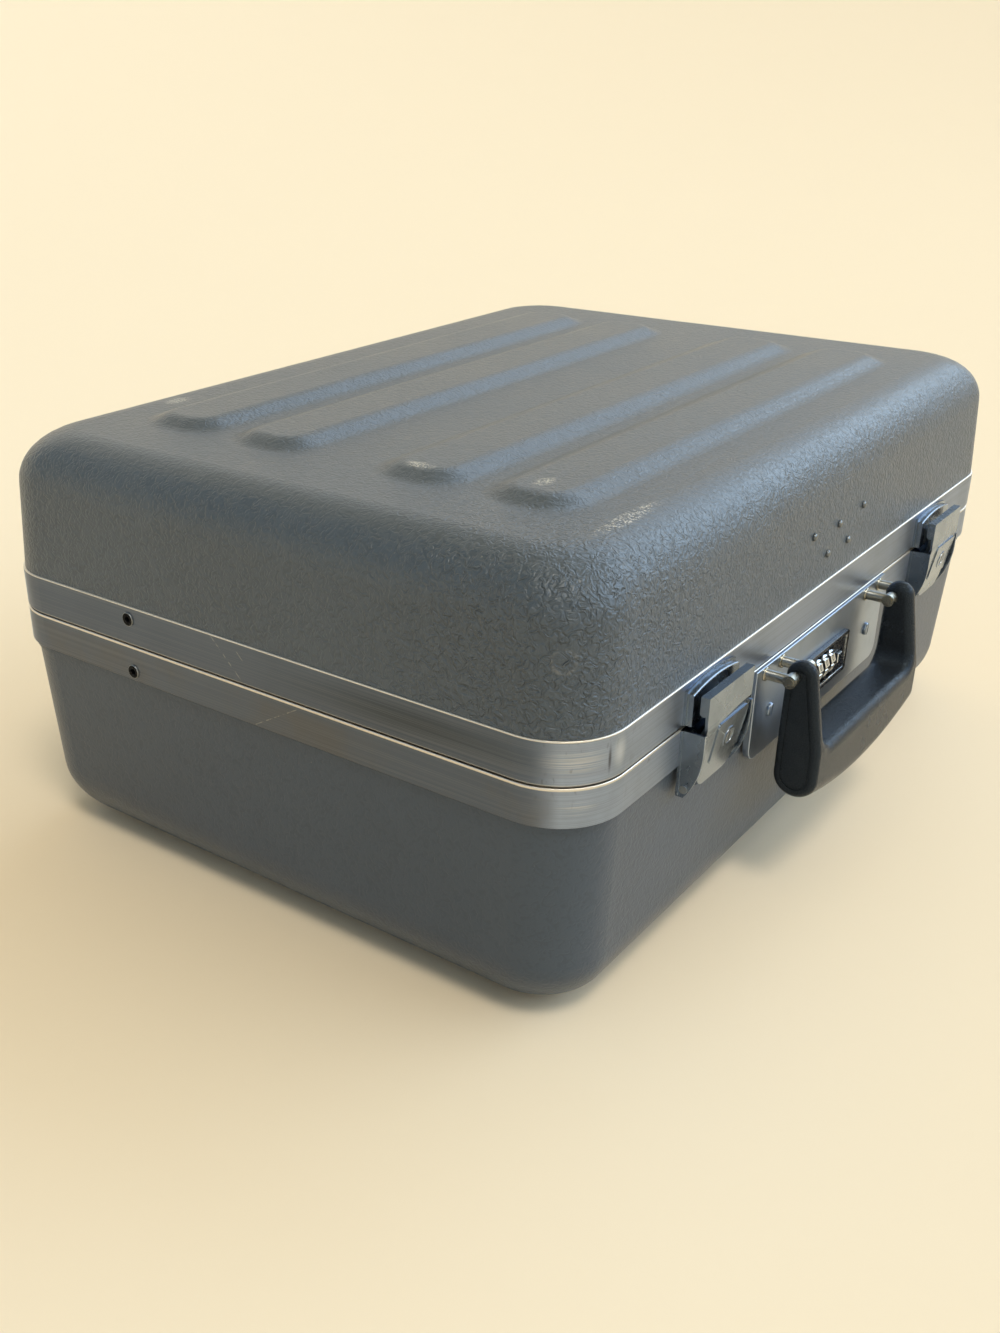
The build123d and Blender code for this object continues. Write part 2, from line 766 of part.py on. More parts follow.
def latch_lever(x):
    """Bent front plate with a top shelf, end tabs, pivot ears, claw lugs and the lock's raised panel."""
    sheet = bent_sheet(x, 0, -lever_sheet, lever_width)
    raised = bent_sheet(x + panel_shift, panel_raise, -lever_sheet / 2, panel_width)
    with BuildPart() as panel:
        add(raised)
        with BuildSketch(front_plane(0)):
            with Locations((x + panel_shift, -(panel_top + panel_bottom) / 2)):
                RectangleRounded(panel_width, panel_bottom - panel_top, panel_corner)
        extrude(amount=2 * cheek_depth, mode=Mode.INTERSECT)
    with BuildPart() as lever:
        add(sheet)
        add(panel.part)
        with BuildSketch(front_plane(0)) as face_outline:
            with BuildLine():
                Polyline(
                    (x - lever_width / 2, lever_top),
                    (x - lever_width / 2, lever_taper_rise),
                    (x - lever_low_width / 2, -lever_bottom),
                    (x + lever_low_width / 2, -lever_bottom),
                    (x + lever_width / 2, lever_taper_rise),
                    (x + lever_width / 2, lever_top),
                    close=True,
                )
            make_face()
            fillet(face_outline.vertices().sort_by(Axis.Y)[:2], lever_corner)
        extrude(amount=2 * cheek_depth, mode=Mode.INTERSECT)
        with BuildSketch(side_plane(x)):
            with Locations((lever_top_reach - lever_shelf_depth / 2, lever_top - lever_sheet / 2)):
                Rectangle(lever_shelf_depth, lever_sheet)
        extrude(amount=lever_width / 2, both=True)
        for side in (-1, 1):
            with BuildSketch(side_plane(x + side * (lever_width - lever_tab_thickness) / 2)):
                tab_reach = lever_top_reach - lever_shelf_depth + lever_tab_width / 2
                tab_top = (tab_reach, lever_top - lever_tab_width / 2)
                tab_end = (tab_reach, lever_top - lever_tab_drop + lever_tab_width / 2)
                link_outline(tab_top, lever_tab_width / 2, tab_end, lever_tab_width / 2)
            extrude(amount=lever_tab_thickness / 2, both=True)
            ear_top = (lever_ear_top_reach, -lever_ear_top_drop)
            with BuildSketch(side_plane(x + side * (ear_outer - lever_ear_thickness / 2))):
                link_outline(lever_pivot, lever_ear_radius, ear_top, lever_sheet)
                with Locations(lever_pivot):
                    Circle(lever_pin_radius + running_fit, mode=Mode.SUBTRACT)
            extrude(amount=lever_ear_thickness / 2, both=True)
            with BuildSketch(side_plane(x + side * (lug_inner + claw_lug_thickness / 2))):
                link_outline(claw_pivot, claw_eye_radius, (claw_lug_reach, -claw_lug_drop), lever_sheet)
                with Locations(claw_pivot):
                    Circle(claw_pin_radius + hole_fit / 2, mode=Mode.SUBTRACT)
            extrude(amount=claw_lug_thickness / 2, both=True)
        boss(plug_plane(x, plug_boss_rise), [(0, 0)], plug_boss_radius, -lever_sheet)
        bore(plug_plane(x, plug_boss_rise), [(0, 0)], plug_radius + running_fit, plug_length)
    return lever


def latch_claw(x):
    """Bent strip hung on the lever: its finger reaches over the strike's bridge."""
    with BuildPart() as claw:
        with BuildSketch(side_plane(x)):
            with BuildLine():
                Polyline(
                    (claw_low_reach, -claw_pivot_drop),
                    (claw_low_reach, -claw_bend_drop),
                    (claw_reach, claw_bend_rise - claw_bend_drop),
                    (claw_reach, finger_bottom),
                    (finger_tip_reach, finger_bottom),
                    (finger_tip_reach, finger_bottom + finger_height),
                    (claw_reach + claw_sheet, finger_bottom + finger_height),
                    (claw_reach + claw_sheet, claw_bend_rise - claw_bend_drop - claw_sheet / 3),
                    (claw_low_reach + claw_sheet, -claw_bend_drop - claw_sheet / 3),
                    (claw_low_reach + claw_sheet, -claw_pivot_drop),
                    close=True,
                )
            make_face()
            with Locations(claw_pivot):
                Circle(claw_eye_radius)
                Circle(claw_pin_radius + running_fit, mode=Mode.SUBTRACT)
        extrude(amount=claw_width / 2, both=True)
    return claw


def key_plug(x):
    """Turning lock plug with a key slot in front and a retaining flange behind the lever."""
    with BuildPart() as plug:
        boss(plug_plane(x, plug_rise), [(0, 0)], plug_radius, -plug_length)
        boss(plug_plane(x, plug_rise - plug_length), [(0, 0)], plug_flange_radius, plug_flange_height)
        with BuildSketch(plug_plane(x, plug_rise)):
            Rectangle(key_slot_width, key_slot_height)
        extrude(amount=-key_slot_depth, mode=Mode.SUBTRACT)
    return plug


def latch_strike(x):
    """Arched catch block on the lid frame with a window for the claw."""
    with BuildPart() as strike:
        for depth, grow in ((strike_flange, strike_border), (strike_depth, 0)):
            half = strike_width / 2 + grow
            side_top = strike_side_height + grow
            with BuildSketch(front_plane(0)):
                with BuildLine():
                    Polyline((x - half, side_top), (x - half, strike_bottom), (x + half, strike_bottom),
                             (x + half, side_top))
                    ThreePointArc((x + half, side_top), (x, side_top + strike_crown), (x - half, side_top))
                make_face()
            extrude(amount=depth)
        top_edges = strike.faces().filter_by(GeomType.CYLINDER).sort_by(Axis.Z)[-2:].edges()
        front_edge = top_edges.filter_by(GeomType.CIRCLE).sort_by(Axis.Y)[0]
        fillet(front_edge, strike_edge_round)
        with BuildSketch(front_plane(strike_depth)):
            with Locations((x, strike_window_bottom + strike_window_height / 2)):
                Rectangle(strike_window_width, strike_window_height)
        extrude(amount=strike_flange - strike_depth, mode=Mode.SUBTRACT)
        points = [point for point in strike_rivet_points if abs(point[0] - x) < latch_width]
        bore(front_plane(0), points, rivet_radius + hole_fit, -strike_stud_depth - hole_fit)
    return strike


for name, x in (("left", latch_centres[0]), ("right", latch_centres[1])):
    save(latch_housing(x), f"latch_housing_{name}")
    save(latch_lever(x), f"latch_lever_{name}")
    save(latch_claw(x), f"latch_claw_{name}")
    save(key_plug(x), f"key_plug_{name}")
    save(latch_strike(x), f"latch_strike_{name}")
    with BuildPart() as claw_pin:
        with BuildSketch(side_plane(x)):
            with Locations(claw_pivot):
                Circle(claw_pin_radius)
        extrude(amount=lug_inner + claw_lug_thickness + pin_end, both=True)
    save(claw_pin, f"latch_claw_pin_{name}")

with BuildPart() as lever_pins:
    for x in latch_centres:
        for side in (-1, 1):
            plane = side_plane(x + side * (cheek_inner + cheek_thickness))
            length = cheek_thickness + cheek_inner - ear_outer + lever_ear_thickness + pin_end
            boss(plane, [lever_pivot], lever_pin_radius, side * length)
            boss(plane, [lever_pivot], lever_pin_radius + pin_head_extra, -side * pin_head_height)
save(lever_pins, "latch_lever_pins")

save(flush_rivets(front_plane(0), latch_rivet_points, latch_plate_thickness, -leg_inner), "latch_rivets")

with BuildPart() as strike_rivets:
    boss(front_plane(strike_stud_depth), strike_rivet_points, rivet_radius, -strike_stud_depth - leg_inner)
    boss(front_plane(-leg_inner), strike_rivet_points, rivet_head_radius, -rivet_head_height)
save(strike_rivets, "strike_rivets")

# ---------------------------------------------------------------- badge studs


def lid_face_reach(rise):
    """Reach of the lid's front face at a height over the seam."""
    return -lid_step - (rise - lid_band) * math.tan(math.radians(lid_draft))


with BuildPart() as badge_studs:
    for x, rise in badge_points:
        seat = lid_face_reach(rise - stud_radius)
        inside = lid_face_reach(rise + stud_radius) - wall / math.cos(math.radians(lid_draft)) - hole_fit
        boss(front_plane(seat), [(x, rise)], stud_radius, stud_height)
        crown = badge_studs.edges(Select.LAST).filter_by(GeomType.CIRCLE).sort_by(Axis.Y)[0]
        fillet(crown, stud_height * stud_dome)
        boss(front_plane(seat), [(x, rise)], stud_shank_radius, inside - seat)
        boss(front_plane(inside), [(x, rise)], stud_radius, -rivet_head_height)
save(badge_studs, "badge_studs")

# ---------------------------------------------------------------- lock plate and handle mounts

rim_top = base_band + plate_rim_gap


def plate_outline(top, inset):
    """Front view of the lock plate from a height down, moved inwards by inset, in the sketch in hand."""
    bottom = -plate_drop + inset
    with BuildSketch(front_plane(0)) as face:
        with Locations((lock_offset, (top + bottom) / 2)):
            Rectangle(plate_length - 2 * inset, top - bottom)
        fillet(face.vertices().sort_by(Axis.Y)[:2], plate_corner - inset)
    return face.sketch


with BuildPart() as lock_plate:
    extrude(plate_outline(-half_gap - plate_top_gap, 0), amount=plate_thickness)
    front = lock_plate.faces().sort_by(Axis.Y)[0]
    fillet(front.outer_wire().edges(), plate_edge_round)
    extrude(plate_outline(-rim_top, 0), amount=-plate_rim)
    extrude(plate_outline(-rim_top + plate_thickness, plate_thickness), amount=-plate_rim, mode=Mode.SUBTRACT)
    with BuildSketch(front_plane(plate_thickness)):
        with Locations((lock_offset, -lock_drop)):
            Rectangle(window_length, window_height)
    extrude(amount=-2 * plate_thickness, mode=Mode.SUBTRACT)
    bore(front_plane(plate_thickness), post_points, post_shank_radius + hole_fit, 2 * plate_thickness)
    bore(front_plane(plate_thickness), plate_screw_points, plate_screw_radius + hole_fit, 2 * plate_thickness)
save(lock_plate, "lock_plate")

wall_slope = math.tan(math.radians(base_draft))
nut_seat = base_step + (plate_screw_drop + nut_radius - base_band) * wall_slope
nut_seat += wall / math.cos(math.radians(base_draft)) + hole_fit

with BuildPart() as plate_screws:
    boss(front_plane(plate_thickness), plate_screw_points, plate_screw_head, plate_screw_height)
    fillet(plate_screws.faces().filter_by(Axis.Y).group_by(Axis.Y)[0].edges(), plate_screw_round)
    screw_length = plate_thickness + nut_seat + nut_height + pin_end
    boss(front_plane(plate_thickness), plate_screw_points, plate_screw_radius, -screw_length)
    with BuildSketch(front_plane(plate_thickness + plate_screw_height)):
        with Locations(*plate_screw_points):
            Rectangle(2 * plate_screw_head, screw_slot_width, rotation=screw_slot_angle)
    extrude(amount=-plate_screw_height / 2, mode=Mode.SUBTRACT)
save(plate_screws, "lock_plate_screws")

with BuildPart() as plate_nuts:
    with BuildSketch(front_plane(-nut_seat)):
        with Locations(*plate_screw_points):
            RegularPolygon(nut_radius, 6)
            Circle(plate_screw_radius + hole_fit, mode=Mode.SUBTRACT)
    extrude(amount=-nut_height)
save(plate_nuts, "lock_plate_nuts")

with BuildPart() as handle_posts:
    plate_face = front_plane(plate_thickness)
    ear_reach = handle_reach - plate_thickness
    boss(plate_face, post_points, post_flange_radius, post_flange_height)
    fillet(handle_posts.faces().filter_by(Axis.Y).group_by(Axis.Y)[0].edges(), post_flange_height / 2)
    boss(plate_face, post_points, post_radius, ear_reach)
    boss(plate_face, post_points, post_shank_radius, -plate_thickness - leg_inner)
    boss(front_plane(-leg_inner), post_points, rivet_head_radius, -rivet_head_height)
    for x, rise in post_points:
        with BuildSketch(side_plane(x)):
            with Locations((handle_reach, rise)):
                Circle(ear_radius)
        extrude(amount=ear_thickness / 2, both=True)
        with BuildSketch(side_plane(x)):
            with Locations((handle_reach, rise)):
                Circle(handle_pin_radius + hole_fit / 2)
        extrude(amount=ear_radius, both=True, mode=Mode.SUBTRACT)
save(handle_posts, "handle_posts")

with BuildPart() as handle_pins:
    for side in (-1, 1):
        for start, radius, length in (
            (post_inner - ear_thickness / 2, handle_pin_radius, post_outer - post_inner + ear_thickness),
            (post_outer + ear_thickness / 2, handle_pin_radius + pin_head_extra, pin_head_height),
            (post_inner - ear_thickness / 2 - pin_head_height, handle_pin_radius + pin_head_extra,
             pin_head_height),
        ):
            plane = side_plane(lock_offset + side * start)
            boss(plane, [(handle_reach, -post_drop)], radius, -side * length)
save(handle_pins, "handle_pins")

# ---------------------------------------------------------------- combination lock

lock_centre = (lock_offset, -lock_drop)
dial_half_chord = math.sqrt(dial_radius**2 - dial_setback**2)
dial_places = [lock_offset + (k - (dial_count - 1) / 2) * dial_pitch for k in range(dial_count)]
button_middle = lock_offset + button_start + button_width / 2
button_slot_middle = button_middle + button_travel / 2

with BuildPart() as lock_bezel:
    with BuildSketch(front_plane(plate_thickness)):
        with Locations(lock_centre):
            RectangleRounded(bezel_length, bezel_height, bezel_corner)
    extrude(amount=bezel_thickness)
    with BuildSketch(front_plane(plate_thickness + bezel_thickness)):
        with Locations(lock_centre):
            RectangleRounded(bezel_length, bezel_height, bezel_corner)
            Rectangle(bezel_length - 2 * bezel_rim, bezel_height - 2 * bezel_rim, mode=Mode.SUBTRACT)
    extrude(amount=bezel_rim_height)
    with BuildSketch(front_plane(plate_thickness)):
        with Locations(lock_centre):
            Rectangle(window_length - 2 * window_fit, window_height - 2 * window_fit)
    extrude(amount=-bezel_tongue)
    with BuildSketch(front_plane(plate_thickness + bezel_thickness)):
        with Locations(*[(x, -lock_drop) for x in dial_places]):
            Rectangle(dial_thickness + 2 * dial_slot_gap, 2 * (dial_half_chord + dial_slot_gap))
        with Locations((button_slot_middle, -lock_drop)):
            Rectangle(button_width + button_travel + 2 * dial_slot_gap, button_height + 2 * dial_slot_gap)
    extrude(amount=-2 * (bezel_thickness + bezel_tongue), mode=Mode.SUBTRACT)
    fillet(lock_bezel.faces().sort_by(Axis.Y)[0].outer_wire().edges(), bezel_rim_height / 2)
save(lock_bezel, "lock_bezel")

with BuildPart() as lock_case:
    with BuildSketch(front_plane(-lock_case_seat)):
        with Locations(lock_centre):
            Rectangle(lock_case_length, lock_case_height)
    extrude(amount=-lock_case_depth + lock_case_seat)
    with BuildSketch(front_plane(-lock_case_seat)):
        with Locations(lock_centre):
            Rectangle(lock_case_length - 2 * lock_case_wall, lock_case_height - 2 * lock_case_wall)
    extrude(amount=-lock_case_depth + lock_case_wall + lock_case_seat, mode=Mode.SUBTRACT)
    with BuildSketch(side_plane(lock_offset)):
        with Locations((-dial_setback, -lock_drop)):
            Circle(axle_radius + hole_fit / 2)
    extrude(amount=lock_case_length, both=True, mode=Mode.SUBTRACT)
save(lock_case, "lock_case")

with BuildPart() as dial_axle:
    with BuildSketch(side_plane(lock_offset)):
        with Locations((-dial_setback, -lock_drop)):
            Circle(axle_radius)
    extrude(amount=lock_case_length / 2, both=True)
save(dial_axle, "dial_axle")

for number, x in enumerate(dial_places, start=1):
    with BuildPart() as dial:
        with BuildSketch(side_plane(x)):
            with Locations((-dial_setback, -lock_drop)):
                RegularPolygon(dial_radius, dial_sides)
                Circle(axle_radius + running_fit, mode=Mode.SUBTRACT)
                with PolarLocations(dial_radius + dial_notch / 3, dial_sides):
                    Circle(dial_notch, mode=Mode.SUBTRACT)
        extrude(amount=dial_thickness / 2, both=True)
    save(dial, f"lock_dial_{number}")

with BuildPart() as lock_button:
    with BuildSketch(front_plane(plate_thickness - bezel_tongue - button_gap)):
        with Locations((button_middle, -lock_drop)):
            Rectangle(button_width, button_height)
    extrude(amount=button_reach - plate_thickness + bezel_tongue + button_gap)
    fillet(lock_button.faces().sort_by(Axis.Y)[0].edges(), button_round)
    with BuildSketch(front_plane(button_reach)):
        with Locations((button_middle, -lock_drop)):
            with GridLocations(button_groove_pitch, 0, 3, 1):
                Rectangle(button_groove, button_height)
    extrude(amount=-button_groove, mode=Mode.SUBTRACT)
    with BuildSketch(front_plane(plate_thickness - bezel_tongue - button_gap)):
        with Locations((button_middle, -lock_drop)):
            Rectangle(button_width + 2 * button_shoulder, button_height + 2 * button_shoulder_depth)
    extrude(amount=-button_shoulder_thickness)
save(lock_button, "lock_button")

# ---------------------------------------------------------------- carrying handle

handle_pivot = (handle_reach, -post_drop)
arm_top = (handle_reach + handle_eye_lead, -post_drop)
grip_reach = handle_reach + handle_grip_lead
arm_inner = post_centre - handle_arm_width / 2
arm_outer = post_centre + handle_arm_width / 2


def handle_side(inset, place):
    """Draw the handle's side view, moved in by inset, at a place from -1 to 1 along its length."""
    bottom = handle_grip_bottom - handle_grip_bow * place**2
    with Locations(arm_top):
        Circle(handle_eye_radius - inset)
    with Locations((grip_reach, -post_drop - handle_hang), (grip_reach, handle_grip_radius - bottom)):
        Circle(handle_grip_radius - inset)
    make_hull()


with BuildPart() as handle_grip:
    for place in (-1, -0.75, -0.4, 0, 0.4, 0.75, 1):
        with BuildSketch(side_plane(lock_offset + place * arm_outer)):
            handle_side(0, place)
    loft()
    with BuildSketch(front_plane(-handle_reach)) as finger_opening:
        opening_top = handle_eye_radius * 2
        with Locations((lock_offset, (opening_top - handle_grip_top) / 2)):
            Rectangle(2 * arm_inner, opening_top + handle_grip_top)
        fillet(finger_opening.vertices().sort_by(Axis.Y)[:2], handle_inner_radius)
    extrude(amount=4 * handle_reach, mode=Mode.SUBTRACT)
    inner_faces = handle_grip.faces().filter_by(
        lambda face: abs(face.center().X - lock_offset) < arm_inner + 0.01 and abs(face.normal_at().Y) < 0.01
        and face.center().Z > seam - handle_grip_top - handle_grip_radius
    )
    rims = [
        edge for edge in inner_faces.edges()
        if sum(edge in face.edges() for face in inner_faces) == 1
    ]
    fillet(rims, handle_edge_round)
    ends = handle_grip.faces().filter_by(Axis.X).sort_by(Axis.X)
    fillet(ends[0].edges() + ends[-1].edges(), handle_end_round)
    for side in (-1, 1):
        with BuildSketch(side_plane(lock_offset + side * arm_outer)):
            handle_side(handle_groove_inset, side)
        extrude(amount=side * handle_groove_depth, mode=Mode.SUBTRACT)
        with BuildSketch(side_plane(lock_offset + side * arm_outer)):
            handle_side(handle_groove_inset + handle_groove_width, side)
        extrude(amount=side * handle_groove_depth)
    with BuildSketch(side_plane(lock_offset)):
        with Locations(handle_pivot):
            Circle(bushing_radius + hole_fit / 2)
    extrude(amount=case_length / 2, both=True, mode=Mode.SUBTRACT)
save(handle_grip, "handle_grip")

with BuildPart() as handle_bushings:
    for side in (-1, 1):
        with BuildSketch(side_plane(lock_offset + side * post_centre)):
            with Locations(handle_pivot):
                Circle(bushing_radius)
                Circle(handle_pin_radius + running_fit, mode=Mode.SUBTRACT)
        extrude(amount=handle_arm_width / 2 + bushing_lip, both=True)
save(handle_bushings, "handle_bushings")
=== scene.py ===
"""Portable typewriter case: finishes, small fittings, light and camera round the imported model.

Everything is in metres in the model's own frame: origin under the middle of the base, +X right along
the handle side, the handle side faces -Y, +Z up.
"""

import json
import math

import bmesh
import bpy
from mathutils import Matrix, Vector


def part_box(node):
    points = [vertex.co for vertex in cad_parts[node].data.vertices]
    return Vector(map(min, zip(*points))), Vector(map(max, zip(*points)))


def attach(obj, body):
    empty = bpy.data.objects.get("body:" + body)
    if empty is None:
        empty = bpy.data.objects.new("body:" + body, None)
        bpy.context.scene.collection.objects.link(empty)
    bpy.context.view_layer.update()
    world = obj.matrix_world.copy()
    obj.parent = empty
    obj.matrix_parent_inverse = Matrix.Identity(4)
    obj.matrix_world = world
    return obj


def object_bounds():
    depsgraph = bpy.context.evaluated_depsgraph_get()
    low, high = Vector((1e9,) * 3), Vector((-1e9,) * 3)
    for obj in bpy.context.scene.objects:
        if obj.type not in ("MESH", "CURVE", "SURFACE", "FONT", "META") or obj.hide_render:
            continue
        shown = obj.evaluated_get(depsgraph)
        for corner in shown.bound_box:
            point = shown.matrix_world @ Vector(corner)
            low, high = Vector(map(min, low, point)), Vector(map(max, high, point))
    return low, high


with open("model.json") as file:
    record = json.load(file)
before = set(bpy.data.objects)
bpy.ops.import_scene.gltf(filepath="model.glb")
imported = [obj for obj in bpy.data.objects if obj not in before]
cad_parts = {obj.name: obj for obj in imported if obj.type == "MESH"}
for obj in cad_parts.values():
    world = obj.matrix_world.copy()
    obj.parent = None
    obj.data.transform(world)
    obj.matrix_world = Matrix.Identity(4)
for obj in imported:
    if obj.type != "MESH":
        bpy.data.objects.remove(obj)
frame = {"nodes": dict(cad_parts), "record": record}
cad_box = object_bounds()

# ---------------------------------------------------------------- places read from the model

lid_band_low, lid_band_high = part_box("lid_frame")
case_left, case_front, seam_z = lid_band_low
lid_top = cad_box[1][2]
lid_lip_z = lid_band_high.z
seam_gap = 0.0008
base_lip_z = seam_z - seam_gap


def on_lid(right, back, drop):
    """A place, by how far it is right of, behind and below the lid's front left top corner."""
    return Vector((case_left + right, case_front + back, lid_top - drop))


def on_band(right, back, rise):
    """A place, by how far it is right of, behind and above the seam's front left corner."""
    return Vector((case_left + right, case_front + back, seam_z + rise))


def shade(color, share):
    """A colour, darker or lighter by a share."""
    return tuple(share * part for part in color)


# ---------------------------------------------------------------- node helpers


class Finish:
    """A material with a Principled surface and short ways to add and join nodes."""

    def __init__(self, name, color, roughness, metallic=0.0, **sockets):
        self.material = bpy.data.materials.new(name)
        self.material.use_nodes = True
        self.nodes = self.material.node_tree.nodes
        self.links = self.material.node_tree.links
        self.surface = self.nodes["Principled BSDF"]
        self.surface.inputs["Base Color"].default_value = (*color, 1)
        self.surface.inputs["Roughness"].default_value = roughness
        self.surface.inputs["Metallic"].default_value = metallic
        for socket, value in sockets.items():
            self.surface.inputs[socket.replace("_", " ")].default_value = value
        coordinates = self.add("ShaderNodeTexCoord")
        self.place = coordinates.outputs["Object"]
        self.normal = coordinates.outputs["Normal"]
        self.height = None

    def add(self, kind, settings=None, **inputs):
        """Adds a node; inputs are values or sockets, with underscores for spaces in their names."""
        node = self.nodes.new(kind)
        for name, value in (settings or {}).items():
            setattr(node, name, value)
        for name, value in inputs.items():
            self.join(value, node.inputs[name.replace("_", " ")])
        return node

    def join(self, value, socket):
        """Links a socket, or sets a value."""
        if isinstance(value, bpy.types.NodeSocket):
            self.links.new(value, socket)
        else:
            socket.default_value = value

    def math(self, operation, *values):
        """One Math node over values and sockets."""
        node = self.add("ShaderNodeMath", {"operation": operation})
        for value, socket in zip(values, node.inputs):
            self.join(value, socket)
        return node.outputs[0]

    def ramp(self, value, low, high, start=0.0, end=1.0):
        """Smooth rise of the result from start to end as the value goes from low to high."""
        node = self.add("ShaderNodeMapRange", {"interpolation_type": "SMOOTHSTEP"}, Value=value)
        node.inputs["From Min"].default_value = low
        node.inputs["From Max"].default_value = high
        node.inputs["To Min"].default_value = start
        node.inputs["To Max"].default_value = end
        return node.outputs[0]

    def stretched(self, scale, turn=(0, 0, 0)):
        """The place, turned and stretched before a texture reads it."""
        node = self.add("ShaderNodeMapping", Vector=self.place)
        node.inputs["Rotation"].default_value = turn
        node.inputs["Scale"].default_value = scale
        return node.outputs[0]

    def noise(self, scale, detail=2.0, distortion=0.0, roughness=0.5, place=None):
        """Noise from 0 to 1; scale is in cycles per metre."""
        node = self.add("ShaderNodeTexNoise", Vector=place or self.place, Scale=scale, Detail=detail,
                        Distortion=distortion, Roughness=roughness)
        return node.outputs[0]

    def cells(self, scale):
        """Distance to the edge of Voronoi cells; scale is in cells per metre."""
        node = self.add("ShaderNodeTexVoronoi", {"feature": "DISTANCE_TO_EDGE"}, Vector=self.place,
                        Scale=scale)
        return node.outputs["Distance"]

    def tint(self, mask, color):
        """Mixes a colour over the base colour where the mask is 1."""
        socket = self.surface.inputs["Base Color"]
        node = self.add("ShaderNodeMix", {"data_type": "RGBA"}, Factor=mask)
        below = socket.links[0].from_socket if socket.is_linked else tuple(socket.default_value)
        self.join(below, node.inputs[6])
        node.inputs[7].default_value = (*color, 1)
        self.links.new(node.outputs[2], socket)

    def rough(self, mask, low, high):
        """Sets the roughness between two values by the mask."""
        socket = self.surface.inputs["Roughness"]
        self.links.new(self.ramp(mask, 0, 1, low, high), socket)

    def bump(self, height, depth):
        """Adds relief of a depth in metres; each call stands on the last."""
        node = self.add("ShaderNodeBump", Height=height, Distance=depth, Strength=1.0)
        if self.height is not None:
            self.links.new(self.height, node.inputs["Normal"])
        self.height = node.outputs[0]
        self.links.new(self.height, self.surface.inputs["Normal"])

    def near(self, centre, size):
        """1 at a centre, falling to 0 at an ellipsoid's edge; size holds its half axes."""
        moved = self.vector("SUBTRACT", self.place, centre).outputs[0]
        scaled = self.vector("DIVIDE", moved, size).outputs[0]
        distance = self.vector("DISTANCE", scaled, (0, 0, 0)).outputs["Value"]
        return self.ramp(distance, 1.0, 0.0)

    def vector(self, operation, first, second):
        """One Vector Math node over values and sockets."""
        node = self.add("ShaderNodeVectorMath", {"operation": operation})
        self.join(first, node.inputs[0])
        self.join(second, node.inputs[1])
        return node

    def scratch(self, start, end, width):
        """1 on a straight line between two points, falling to 0 at a width from it and past its ends."""
        run = end - start
        moved = self.vector("SUBTRACT", self.place, start).outputs[0]
        along = self.vector("DOT_PRODUCT", moved, run.normalized()).outputs["Value"]
        foot = self.add("ShaderNodeVectorMath", {"operation": "SCALE"}, Scale=along)
        foot.inputs[0].default_value = run.normalized()
        gap = self.vector("DISTANCE", moved, foot.outputs[0]).outputs["Value"]
        inside = self.ramp(self.math("ABSOLUTE", self.math("SUBTRACT", along, run.length / 2)),
                           run.length / 2, run.length / 2 - 4 * width)
        return self.math("MULTIPLY", self.ramp(gap, width, 0.3 * width), inside)

    def part(self, name):
        """One coordinate of the place: X, Y or Z."""
        return self.add("ShaderNodeSeparateXYZ", Vector=self.place).outputs[name]

    def facing_up(self, low, high):
        """1 where the surface faces upwards when the case is shut."""
        return self.ramp(self.add("ShaderNodeSeparateXYZ", Vector=self.normal).outputs["Z"], low, high)

    def all_of(self, *masks):
        """The masks multiplied together."""
        result = masks[0]
        for mask in masks[1:]:
            result = self.math("MULTIPLY", result, mask)
        return result

    def any_of(self, *masks):
        """The largest of the masks."""
        result = masks[0]
        for mask in masks[1:]:
            result = self.math("MAXIMUM", result, mask)
        return result


# ---------------------------------------------------------------- finishes


def moulded_plastic(name, color, grain_depth, grain_scale=300):
    """Grey ABS with a wrinkled grain, softer on what faces up, with painted shade and some grime in the
    grain's hollows; also gives the mask of the grain's ridges.
    """
    finish = Finish(name, color, 0.4, Specular_Tint=(0.88, 0.93, 1.0, 1))
    cloud = finish.noise(11, detail=4)
    finish.tint(finish.ramp(cloud, 0.35, 0.75, 0.0, 0.7), shade(color, 1.15))
    ridges = finish.ramp(finish.noise(grain_scale, detail=1.0, distortion=1.6), 0.28, 0.72)
    specks = finish.ramp(finish.noise(330, detail=3, roughness=0.6), 0.73, 0.8)
    finish.tint(finish.math("MULTIPLY", specks, 0.55), (0.3, 0.29, 0.26))
    # the grain's hollows tinted darker: painted shade, with some grime
    valley_shade_and_grime = finish.ramp(ridges, 0.5, 0.0)
    finish.tint(finish.math("MULTIPLY", valley_shade_and_grime, 0.25), shade(color, 0.5))
    finish.rough(cloud, 0.3, 0.4)
    softened = finish.ramp(finish.facing_up(0.6, 1.0), 0, 1, 1.0, 0.45)
    finish.bump(finish.math("MULTIPLY", ridges, softened), grain_depth)
    finish.bump(finish.noise(1400, detail=2), 0.00004)
    return finish, ridges


def rub_lid(finish, grit, outside):
    """Pale rubs: one dragged along the lid's front edge, one at its back and two on ribs' ends."""
    strokes = finish.stretched((950, 280, 950), (0, 0, 0.55))
    chatter = finish.ramp(finish.noise(1, detail=2, place=strokes), 0.47, 0.55)
    dragged = finish.near(on_lid(0.068, 0.0265, 0.004), (0.033, 0.005, 0.006))
    finish.tint(finish.all_of(finish.ramp(dragged, 0.0, 0.45), chatter, grit, outside), (0.55, 0.52, 0.47))
    rubs = finish.any_of(
        finish.near(on_lid(0.0955, 0.2965, 0.004), (0.013, 0.008, 0.006)),
        finish.near(on_lid(0.067, 0.123, 0.0), (0.006, 0.012, 0.006)),
        finish.near(on_lid(0.077, 0.069, 0.0), (0.01, 0.006, 0.006)),
    )
    finish.tint(finish.all_of(finish.ramp(rubs, 0.1, 0.9), grit, outside), (0.42, 0.4, 0.35))


